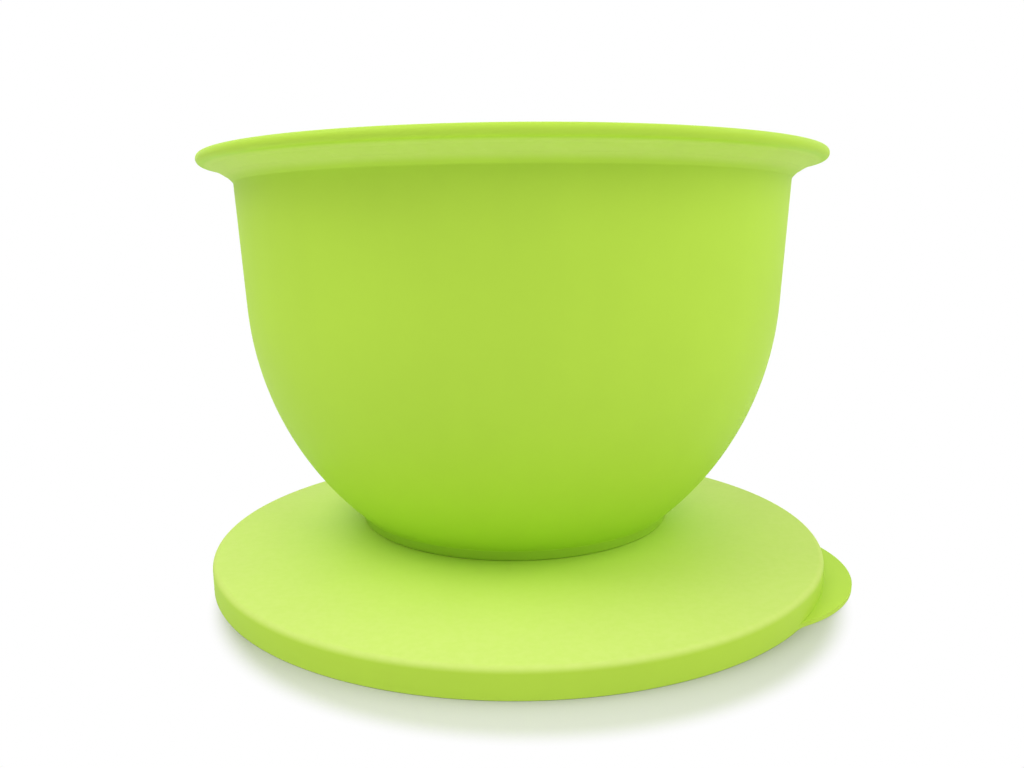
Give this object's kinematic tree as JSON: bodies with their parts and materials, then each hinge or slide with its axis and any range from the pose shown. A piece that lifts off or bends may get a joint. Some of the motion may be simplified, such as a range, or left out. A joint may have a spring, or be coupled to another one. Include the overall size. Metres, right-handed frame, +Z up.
{
  "type": "mixing bowl",
  "caption": "Deep round plastic mixing bowl with a flared rim and a low foot ring, standing on its own flat press-on lid with a finger tab.",
  "frame": {"origin": "middle of the box around bowl and lid, on the surface that the lid lies on", "axes": "+Z up along the bowl's axis, +Y away from the viewer of the picture, from the lid's front to the bowl's back, +X to the viewer's right, where the lid's tab is"},
  "size_m": [0.2506, 0.2688, 0.1564],
  "materials": {
    "bowl_plastic": "satin moulded lime green plastic",
    "lid_plastic": "satin moulded lime green plastic, a little softer and yellower"
  },
  "bodies": {
    "lid": {"lid": "lid_plastic"},
    "bowl": {"bowl": "bowl_plastic"}
  },
  "joints": [
    {"name": "bowl_lift", "type": "slide", "parent": "lid", "child": "bowl", "axis": [0, 0, 1], "range_m": [0, 0.15]}
  ]
}
